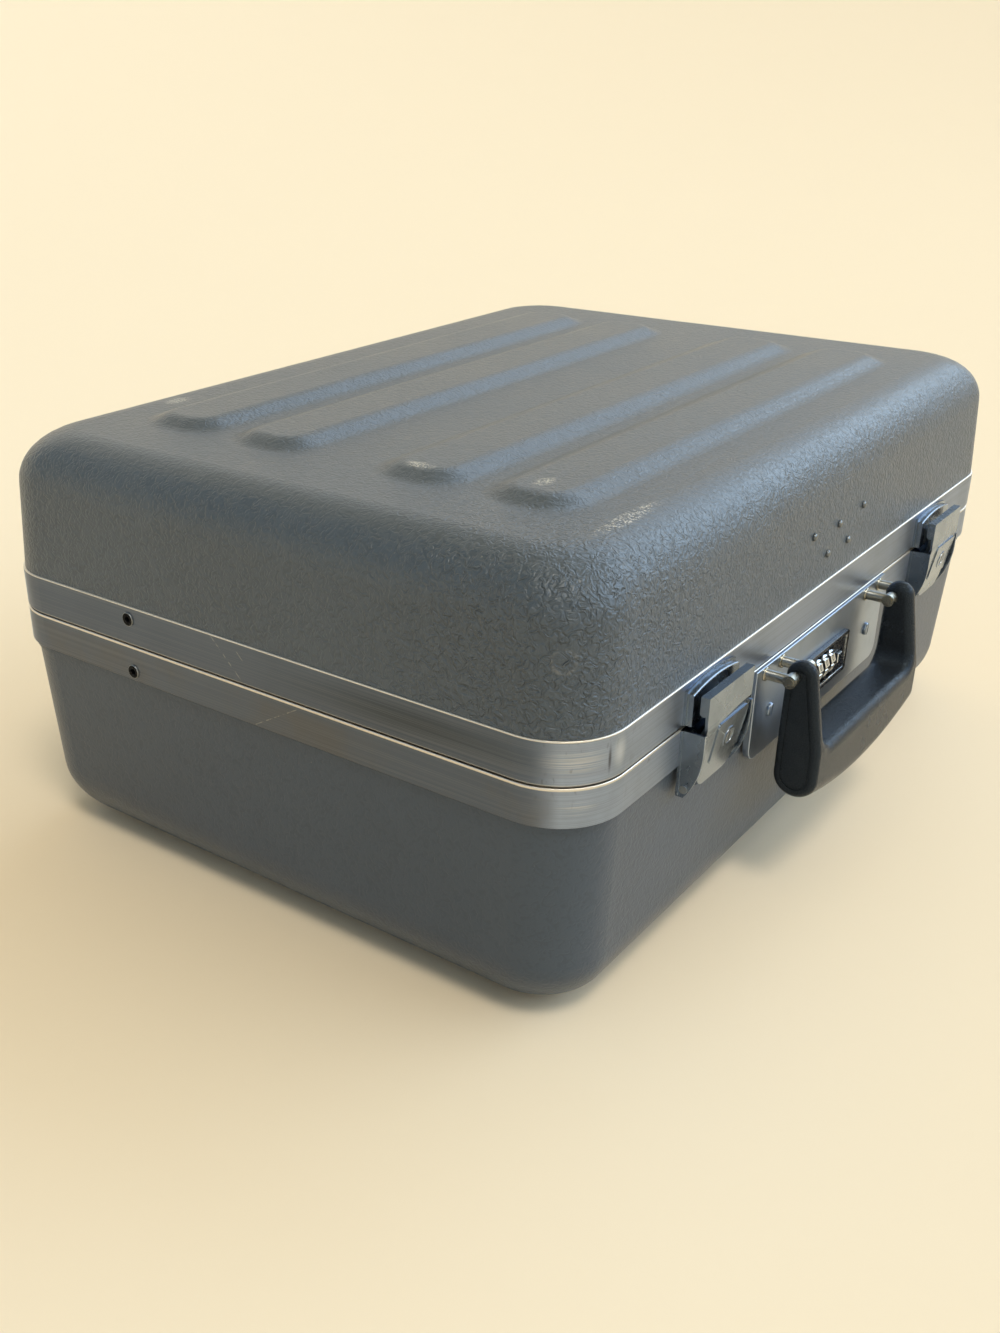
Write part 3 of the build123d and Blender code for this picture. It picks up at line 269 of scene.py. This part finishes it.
def ring_mark(finish, ridges, centre, radius=0.0044, line=0.0002, fade=0.001):
    """A faint ring that something round has left on the grain's ridges."""
    distance = finish.vector("DISTANCE", finish.place, centre).outputs["Value"]
    within = finish.ramp(distance, radius + line + fade, radius + line)
    beyond = finish.ramp(distance, radius - line - fade, radius - line)
    ring = finish.all_of(within, beyond, ridges)
    finish.tint(finish.math("MULTIPLY", ring, 0.3), (0.24, 0.235, 0.22))


def lid_plastic():
    """The lid's plastic: rubbed on its top edges, with deeper grain and a ring mark on one corner."""
    finish, ridges = moulded_plastic("lid_plastic", (0.06, 0.076, 0.096), 0.0003)
    grit = finish.ramp(finish.noise(1100, detail=3, roughness=0.7), 0.48, 0.56)
    outside = finish.facing_up(0.05, 0.25)
    rub_lid(finish, grit, outside)
    wrinkled = finish.near(on_lid(0.013, 0.014, 0.044), (0.11, 0.12, 0.075))
    finish.bump(finish.math("MULTIPLY", ridges, finish.ramp(wrinkled, 0.0, 0.8)), 0.00028)
    left_edge = finish.near(on_lid(0.035, 0.144, 0.004), (0.05, 0.14, 0.012))
    patches = finish.ramp(finish.noise(26, detail=4, roughness=0.7), 0.55, 0.75)
    edge_wear = finish.all_of(patches, left_edge, ridges, outside)
    finish.tint(finish.math("MULTIPLY", edge_wear, 0.35), (0.33, 0.31, 0.27))
    ring_mark(finish, ridges, on_lid(0.0076, 0.0148, 0.038))
    return finish.material


def dull_ends(finish, smear):
    """Smears the bands, and darkens them with painted shade on the case's two ends and with a painted shadow
    along a stretch on the left.
    """
    upward = finish.facing_up(0.25, 0.6)
    from_middle = finish.math("ABSOLUTE", finish.part("X"))
    end_face = finish.ramp(from_middle, -case_left - 0.006, -case_left - 0.0001)
    end_shade = finish.math("MULTIPLY", end_face, finish.math("SUBTRACT", 1.0, upward))
    finish.tint(finish.ramp(smear, 0.42, 0.7, 0.0, 0.7), (0.24, 0.29, 0.37))
    # the end faces, where they don't face up, darkened: painted shade
    finish.tint(finish.math("MULTIPLY", end_shade, 0.88), (0.08, 0.1, 0.14))
    below_seam = finish.ramp(finish.part("Z"), seam_z - 0.0004, seam_z - 0.0074)
    browned = finish.all_of(end_shade, below_seam, finish.ramp(smear, 0.35, 0.6))
    finish.tint(finish.math("MULTIPLY", browned, 0.5), (0.14, 0.135, 0.13))
    # a painted shadow along a stretch of the left end's lid band
    shadowed = finish.near(on_band(-0.001, 0.076, 0.0091), (0.012, 0.085, 0.0115))
    finish.tint(finish.math("MULTIPLY", shadowed, 0.75), (0.05, 0.058, 0.066))


def polish_corner(finish):
    """Smudges, polished strokes tinted bright as painted highlight streaks, a painted highlight spot and a
    dark streak round the bands' front left corner.
    """
    smudges = finish.ramp(finish.noise(1, detail=4, place=finish.stretched((260, 260, 130))), 0.6, 0.7)
    corner = finish.near(on_band(0.013, 0.013, 0.0046), (0.045, 0.04, 0.03))
    finish.tint(finish.all_of(smudges, corner, 0.5), (0.09, 0.095, 0.1))
    polish_and_highlight = finish.ramp(finish.noise(1, detail=2, place=finish.stretched((22, 22, 2300))), 0.42, 0.6)
    turned = finish.any_of(
        finish.near(on_band(0.0087, 0.0089, 0.0101), (0.017, 0.017, 0.008)),
        finish.near(on_band(0.0095, 0.008, -0.0094), (0.011, 0.011, 0.004)),
    )
    # the polished strokes tinted bright: painted highlight streaks
    finish.tint(finish.all_of(polish_and_highlight, turned, 0.42), (0.7, 0.69, 0.67))
    # a painted highlight spot
    highlight_spot = finish.near(on_band(0.026, 0.0003, 0.0101), (0.005, 0.01, 0.009))
    finish.tint(finish.math("MULTIPLY", highlight_spot, 0.45), (0.74, 0.8, 0.9))
    dark_streak = finish.near(on_band(0.0208, 0.0015, 0.0088), (0.0011, 0.01, 0.008))
    finish.tint(finish.math("MULTIPLY", dark_streak, 0.85), (0.05, 0.05, 0.055))


def brighten_lips(finish):
    """Paints highlight lines on the lid band's upper edge and on the edges along the seam, where the metal
    is partly polished and bare.
    """
    height = finish.part("Z")
    base_lip = finish.all_of(finish.ramp(height, base_lip_z - 0.0013, base_lip_z - 0.0009),
                             finish.ramp(height, seam_z, base_lip_z))
    lid_lip = finish.ramp(height, lid_lip_z - 0.0008, lid_lip_z - 0.0005)
    seam_lip = finish.all_of(finish.ramp(height, seam_z - 0.0002, seam_z),
                             finish.ramp(height, seam_z + 0.0008, seam_z + 0.0005))
    # painted highlight lines along the edges
    lip_highlights = finish.any_of(base_lip, lid_lip, finish.math("MULTIPLY", seam_lip, 0.35))
    finish.tint(finish.math("MULTIPLY", lip_highlights, 0.85), (0.8, 0.75, 0.67))


def scratch_left_end(finish):
    """Three straight scratches on the bands at the case's left end."""
    marks = finish.any_of(
        finish.scratch(on_band(0.0, 0.1845, 0.0181), on_band(0.0, 0.167, 0.0011), 0.0004),
        finish.scratch(on_band(0.0, 0.1715, 0.0166), on_band(0.0, 0.1655, 0.0106), 0.0003),
        finish.scratch(on_band(0.0, 0.161, -0.0174), on_band(0.0, 0.136, -0.0029), 0.0003),
    )
    worn = finish.ramp(finish.noise(500, detail=2), 0.4, 0.6)
    finish.tint(finish.all_of(marks, worn, 0.5), (0.4, 0.4, 0.38))


def brushed_aluminium():
    """Extruded aluminium, brushed along the seam: painted shade at the case's ends, painted highlight lines
    on its edges and at its front left corner, and dark flecks.
    """
    finish = Finish("brushed_aluminium", (0.32, 0.385, 0.52), 0.34, metallic=1.0, Anisotropic=0.75)
    lines = finish.noise(1, detail=3, place=finish.stretched((5, 5, 2400)))
    smear = finish.noise(16, detail=5, roughness=0.65)
    dull_ends(finish, smear)
    finish.tint(finish.ramp(lines, 0.4, 0.7, 0.0, 0.4), (0.19, 0.21, 0.25))
    polish_corner(finish)
    brighten_lips(finish)
    flecks = finish.ramp(finish.noise(120, detail=4, roughness=0.7), 0.7, 0.76)
    finish.tint(finish.math("MULTIPLY", flecks, 0.6), (0.06, 0.055, 0.05))
    scratch_left_end(finish)
    mixed = finish.math("ADD", finish.math("MULTIPLY", lines, 0.5), finish.math("MULTIPLY", smear, 0.5))
    finish.rough(mixed, 0.26, 0.44)
    finish.bump(lines, 0.00002)
    return finish.material


def plated_steel(name, color, rough_low, rough_high, grime=0.4, top_shade=0.0):
    """Plated fittings with soft smears, pits and grime, and painted shade as strong as top_shade on what
    faces up.
    """
    finish = Finish(name, color, rough_low, metallic=1.0)
    smear = finish.noise(45, detail=3, roughness=0.6)
    finish.tint(finish.ramp(smear, 0.45, 0.8, 0.0, grime), shade(color, 0.4))
    pits = finish.ramp(finish.noise(700, detail=2, roughness=0.6), 0.68, 0.76)
    finish.tint(finish.math("MULTIPLY", pits, grime), shade(color, 0.25))
    # painted shade on what faces up
    finish.tint(finish.math("MULTIPLY", finish.facing_up(0.6, 0.95), top_shade), shade(color, 0.2))
    finish.rough(smear, rough_low, rough_high)
    finish.bump(smear, 0.00006)
    return finish.material


def eyelet_steel(node, hollow_radius=0.003, fade=0.0002):
    """Plated eyelets whose hollow middles are painted dark as shade."""
    finish = Finish(f"eyelet_{node}", (0.3, 0.32, 0.34), 0.3, metallic=1.0)
    low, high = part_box(node)
    middle = (low + high) / 2
    across = finish.math("SUBTRACT", finish.part("Y"), middle.y)
    above = finish.math("SUBTRACT", finish.part("Z"), middle.z)
    distance = finish.math("SQRT", finish.math("ADD", finish.math("MULTIPLY", across, across),
                                               finish.math("MULTIPLY", above, above)))
    hollow = finish.ramp(distance, hollow_radius + fade, hollow_radius - fade)
    fine_noise = finish.noise(900, detail=3)
    # painted shade in the hollow middles
    dark = finish.math("MULTIPLY", hollow, finish.ramp(fine_noise, 0.2, 0.6, 0.85, 1.0))
    finish.tint(dark, (0.012, 0.012, 0.013))
    finish.rough(hollow, 0.3, 0.8)
    finish.bump(fine_noise, 0.00002)
    return finish.material


def black_grip():
    """Blue-black vinyl with a fine leather grain and paler patches."""
    finish = Finish("black_grip", (0.018, 0.022, 0.028), 0.3, Specular_Tint=(0.55, 0.76, 1.0, 1),
                    Specular_IOR_Level=0.2)
    patch = finish.noise(60, detail=4)
    finish.tint(finish.ramp(patch, 0.5, 0.8, 0.0, 0.6), (0.026, 0.03, 0.036))
    pores = finish.ramp(finish.cells(1000), 0.0, 0.3)
    finish.tint(finish.math("MULTIPLY", finish.ramp(pores, 0.4, 0.0), 0.5), (0.008, 0.009, 0.011))
    finish.rough(patch, 0.2, 0.3)
    finish.bump(pores, 0.00008)
    return finish.material


def gloss_black(name):
    """Polished black plastic, a little dusty."""
    finish = Finish(name, (0.01, 0.01, 0.012), 0.2)
    dust = finish.noise(300, detail=4, roughness=0.7)
    finish.tint(finish.ramp(dust, 0.6, 0.8, 0.0, 0.4), (0.12, 0.12, 0.12))
    finish.rough(dust, 0.14, 0.4)
    finish.bump(dust, 0.00001)
    return finish.material


lid_shell_plastic = lid_plastic()
# a darker, bluer copy of the lid's plastic with shallower grain; the darker colour is painted shade on the
# case's lower half
shaded_base_shell = moulded_plastic("base_shell_shaded", (0.046, 0.063, 0.09), 0.00007)[0].material
aluminium = brushed_aluminium()
nickel = plated_steel("nickel", (0.29, 0.345, 0.42), 0.17, 0.34, grime=0.35, top_shade=0.7)
chrome = plated_steel("chrome", (0.62, 0.66, 0.7), 0.1, 0.22, grime=0.3)
satin_nickel = plated_steel("satin_nickel", (0.33, 0.39, 0.48), 0.3, 0.42, grime=0.25)
zinc = plated_steel("zinc", (0.36, 0.39, 0.42), 0.28, 0.45)
dark_steel = plated_steel("dark_steel", (0.17, 0.185, 0.2), 0.25, 0.4)
brass = plated_steel("worn_brass", (0.42, 0.4, 0.34), 0.2, 0.36, grime=0.5)
grip = black_grip()
black = gloss_black("gloss_black")

slot_finishes = {
    "shell": shaded_base_shell, "frame": aluminium, "steel": zinc, "latch": nickel, "plate": satin_nickel,
    "black": black, "dial": chrome, "handle": grip, "brass": brass,
}
slot_of = {entry["node"]: entry["material_slot"] for entry in frame["record"]["subparts"]}
for node, piece in frame["nodes"].items():
    for material_slot in piece.material_slots:
        material_slot.material = slot_finishes[slot_of[node]]
frame["nodes"]["lid_shell"].material_slots[0].material = lid_shell_plastic
frame["nodes"]["badge_studs"].material_slots[0].material = dark_steel
for node in ("stay_rivets_base", "stay_rivets_lid"):
    frame["nodes"][node].material_slots[0].material = eyelet_steel(node)

# ---------------------------------------------------------------- softened edges

ROUNDED = ("latch_lever", "latch_housing", "latch_strike", "latch_claw", "lock_plate", "lock_bezel",
           "lock_dial", "hinge_leaf", "stay_upper", "stay_lower")
WELD_DISTANCE = 0.000002
EDGE_RADIUS = 0.00016
SHARP_ANGLE = 40


def soften_edges(piece):
    """Rounds a CAD piece's sharp edges with modifiers."""
    weld = piece.modifiers.new("weld", "WELD")
    weld.merge_threshold = WELD_DISTANCE
    bevel = piece.modifiers.new("bevel", "BEVEL")
    bevel.width = EDGE_RADIUS
    bevel.segments = 2
    bevel.limit_method = "ANGLE"
    bevel.angle_limit = math.radians(SHARP_ANGLE)
    bevel.harden_normals = True


for node, piece in frame["nodes"].items():
    if node.startswith(ROUNDED):
        soften_edges(piece)

# ---------------------------------------------------------------- small fittings


def new_piece(name, mesh, finish, body):
    """Puts a mesh into the scene as a piece that rides on a body."""
    mesh.materials.append(finish)
    piece = bpy.data.objects.new(name, mesh)
    bpy.context.collection.objects.link(piece)
    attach(piece, body)
    return piece


def numeral(text, height, depth):
    """A raised numeral as a mesh, centred, facing +Z with its top towards +Y."""
    curve = bpy.data.curves.new("numeral", "FONT")
    curve.body = text
    curve.size = height
    curve.extrude = depth / 2
    curve.align_x = "CENTER"
    curve.align_y = "CENTER"
    curve.resolution_u = 3
    holder = bpy.data.objects.new("numeral", curve)
    bpy.context.collection.objects.link(holder)
    mesh = bpy.data.meshes.new_from_object(holder.evaluated_get(bpy.context.evaluated_depsgraph_get()))
    bpy.data.objects.remove(holder)
    return mesh


def dial_numerals(number, finish, height=0.0044, depth=0.0001):
    """The figures 0 to 9 round one dial, one in the middle of each of its flats."""
    low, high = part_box(f"lock_dial_{number}")
    centre = (low + high) / 2
    centre_to_flat = (high.z - low.z) / 2
    step = 360 / 10
    figures = bmesh.new()
    for figure in range(10):
        mesh = numeral(str(figure), height, depth)
        turn = Matrix.Rotation(math.radians(90 - (figure + 0.5) * step), 4, "X")
        mesh.transform(Matrix.Translation(centre) @ turn @ Matrix.Translation((0, 0, centre_to_flat)))
        figures.from_mesh(mesh)
        bpy.data.meshes.remove(mesh)
    joined = bpy.data.meshes.new(f"dial_figures_{number}")
    figures.to_mesh(joined)
    figures.free()
    new_piece(f"dial_figures_{number}", joined, finish, f"lock_dial_{number}")


def bezel_trim(finish, inset=0.00165, width=0.0006, rise=0.0004, floor_drop=0.0007):
    """A bright frame that lies in the bezel's recess, just inside its rim."""
    low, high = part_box("lock_bezel")
    floor_y = low.y + floor_drop
    rounded_section = ((0.0, 0.0), (0.2, 0.8), (0.4, 1.0), (0.6, 1.0), (0.8, 0.8), (1.0, 0.0))
    trim = bmesh.new()
    loops = []
    for share, height in rounded_section:
        edge = inset + share * width
        corners = ((low.x + edge, low.z + edge), (high.x - edge, low.z + edge),
                   (high.x - edge, high.z - edge), (low.x + edge, high.z - edge))
        loops.append([trim.verts.new((x, floor_y - height * rise, z)) for x, z in corners])
    for first, second in zip(loops, loops[1:] + loops[:1]):
        for k in range(4):
            trim.faces.new((first[k - 1], first[k], second[k], second[k - 1]))
    bmesh.ops.recalc_face_normals(trim, faces=trim.faces)
    mesh = bpy.data.meshes.new("bezel_trim")
    trim.to_mesh(mesh)
    trim.free()
    new_piece("bezel_trim", mesh, finish, "base")


figure_black = gloss_black("figure_black")
for number in (1, 2, 3):
    dial_numerals(number, figure_black)
bezel_trim(chrome)


# ---------------------------------------------------------------- floor, light and camera

paper = Finish("paper", (0.79, 0.675, 0.515), 0.9, Specular_IOR_Level=0.1)
paper.tint(paper.ramp(paper.noise(3, detail=3), 0.3, 0.7, 0.0, 0.15), (0.78, 0.665, 0.51))
paper.rough(paper.noise(40), 0.85, 0.95)


def studio_floor(hub_radius=0.05, flat_radius=2.0, sweep_radius=21.0, sweep_angle=35, rings=18, spokes=96):
    """A pale dish: flat under the object, its far edge sweeping up gently past the horizon."""
    profile = [(hub_radius, 0.0), (flat_radius, 0.0)]
    for k in range(1, rings + 1):
        angle = math.radians(sweep_angle) * k / rings
        profile.append((flat_radius + sweep_radius * math.sin(angle), sweep_radius * (1 - math.cos(angle))))
    vertices = []
    for distance, rise in profile:
        for k in range(spokes):
            angle = 2 * math.pi * k / spokes
            vertices.append((distance * math.cos(angle), distance * math.sin(angle), rise))
    faces = [tuple(range(spokes))]
    for ring in range(len(profile) - 1):
        for k in range(spokes):
            first, second = ring * spokes + k, ring * spokes + (k + 1) % spokes
            faces.append((first, first + spokes, second + spokes, second))
    mesh = bpy.data.meshes.new("studio_floor")
    mesh.from_pydata(vertices, [], faces)
    mesh.shade_smooth()
    mesh.materials.append(paper.material)
    dish = bpy.data.objects.new("studio_floor", mesh)
    bpy.context.collection.objects.link(dish)


class Sky:
    """Studio light from all round: a base colour with soft patches of light in given directions."""

    def __init__(self, color, strength):
        self.world = bpy.data.worlds.new("studio")
        self.world.use_nodes = True
        self.nodes = self.world.node_tree.nodes
        self.links = self.world.node_tree.links
        self.direction = self.nodes.new("ShaderNodeTexCoord").outputs["Generated"]
        self.background = self.nodes["Background"]
        self.background.inputs["Strength"].default_value = 1.0
        base = self.nodes.new("ShaderNodeRGB")
        base.outputs[0].default_value = (*(strength * part for part in color), 1)
        self.light = base.outputs[0]

    def patch(self, azimuth, elevation, width, height, soft, color, strength):
        """Adds a rectangular patch; angles in degrees, azimuth from +X towards +Y."""
        turn = math.radians(azimuth)
        tilt = math.radians(elevation)
        ahead = Vector((math.cos(turn) * math.cos(tilt), math.sin(turn) * math.cos(tilt), math.sin(tilt)))
        across = Vector((-math.sin(turn), math.cos(turn), 0))
        upward = ahead.cross(across)
        mask = self.fade(ahead, None, 0.0, 0.2)
        for axis, span in ((across, width), (upward, height)):
            edge = math.tan(math.radians(span / 2))
            mask = self.product(mask, self.fade(axis, ahead, edge * (1 + soft), edge * (1 - soft)))
        mix = self.nodes.new("ShaderNodeMix")
        mix.data_type = "RGBA"
        self.links.new(mask, mix.inputs["Factor"])
        self.links.new(self.light, mix.inputs[6])
        mix.inputs[7].default_value = (*(strength * part for part in color), 1)
        self.light = mix.outputs[2]

    def fade(self, axis, over, low, high):
        """Smooth 0 to 1 from low to high of the direction's part along an axis, over that along another."""
        part = self.along(axis)
        if over is not None:
            ratio = self.nodes.new("ShaderNodeMath")
            ratio.operation = "DIVIDE"
            self.links.new(part, ratio.inputs[0])
            self.links.new(self.along(over), ratio.inputs[1])
            size = self.nodes.new("ShaderNodeMath")
            size.operation = "ABSOLUTE"
            self.links.new(ratio.outputs[0], size.inputs[0])
            part = size.outputs[0]
        node = self.nodes.new("ShaderNodeMapRange")
        node.interpolation_type = "SMOOTHSTEP"
        self.links.new(part, node.inputs["Value"])
        node.inputs["From Min"].default_value = low
        node.inputs["From Max"].default_value = high
        return node.outputs[0]

    def along(self, axis):
        """The direction's part along an axis."""
        node = self.nodes.new("ShaderNodeVectorMath")
        node.operation = "DOT_PRODUCT"
        self.links.new(self.direction, node.inputs[0])
        node.inputs[1].default_value = axis
        return node.outputs["Value"]

    def product(self, first, second):
        """Both masks together."""
        node = self.nodes.new("ShaderNodeMath")
        node.operation = "MULTIPLY"
        self.links.new(first, node.inputs[0])
        self.links.new(second, node.inputs[1])
        return node.outputs[0]

    def finish(self):
        """Lights the scene."""
        self.links.new(self.light, self.background.inputs["Color"])
        bpy.context.scene.world = self.world


studio_floor()
sky = Sky((1.0, 0.95, 0.84), 1.08)
# the ceiling, dimmer and yellower than the room
sky.patch(0, 90, width=104, height=104, soft=0.4, color=(1.0, 0.84, 0.46), strength=0.73)
# a dim blue wall on the left
sky.patch(160, 30, width=120, height=80, soft=0.3, color=(0.6, 0.82, 1.0), strength=0.5)
# the key light, high in front on the left
sky.patch(-124, 64, width=14, height=14, soft=0.5, color=(1.0, 0.92, 0.78), strength=21.5)
# a wide blue window in front on the right
sky.patch(-40, 26, width=78, height=34, soft=0.2, color=(0.64, 0.82, 1.0), strength=4.9)
# a small blue window on the right
sky.patch(10, 42, width=26, height=22, soft=0.3, color=(0.7, 0.85, 1.0), strength=3.2)
sky.finish()
bpy.context.scene.view_settings.view_transform = "Standard"

# the camera that a fit of the case's edges gives, with the lens axis in the photo's pixels
IMAGE_WIDTH, IMAGE_HEIGHT = 1000, 1333
FOCAL_PIXELS = 1352.03
AXIS_X, AXIS_Y = 424.88, 718.43
CAMERA_PLACE = (-0.5877, -0.3712, 0.3613)
CAMERA_ANGLES = (-52.60, 26.83, -0.332)
azimuth, elevation, roll = (math.radians(angle) for angle in CAMERA_ANGLES)
back = Vector((math.sin(azimuth) * math.cos(elevation), -math.cos(azimuth) * math.cos(elevation),
               math.sin(elevation)))
level_right = (-back).cross(Vector((0, 0, 1))).normalized()
level_up = back.cross(level_right)
right = math.cos(roll) * level_right + math.sin(roll) * level_up
up = back.cross(right)

lens = bpy.data.cameras.new("camera")
lens.sensor_fit = "VERTICAL"
lens.sensor_height = 36
lens.lens = FOCAL_PIXELS / IMAGE_HEIGHT * lens.sensor_height
lens.shift_x = (IMAGE_WIDTH / 2 - AXIS_X) / IMAGE_HEIGHT
lens.shift_y = (AXIS_Y - IMAGE_HEIGHT / 2) / IMAGE_HEIGHT
lens.clip_end = 50
camera = bpy.data.objects.new("camera", lens)
facing = Matrix((right, up, back)).transposed().to_4x4()
camera.matrix_world = Matrix.Translation(CAMERA_PLACE) @ facing
bpy.context.collection.objects.link(camera)
bpy.context.scene.camera = camera
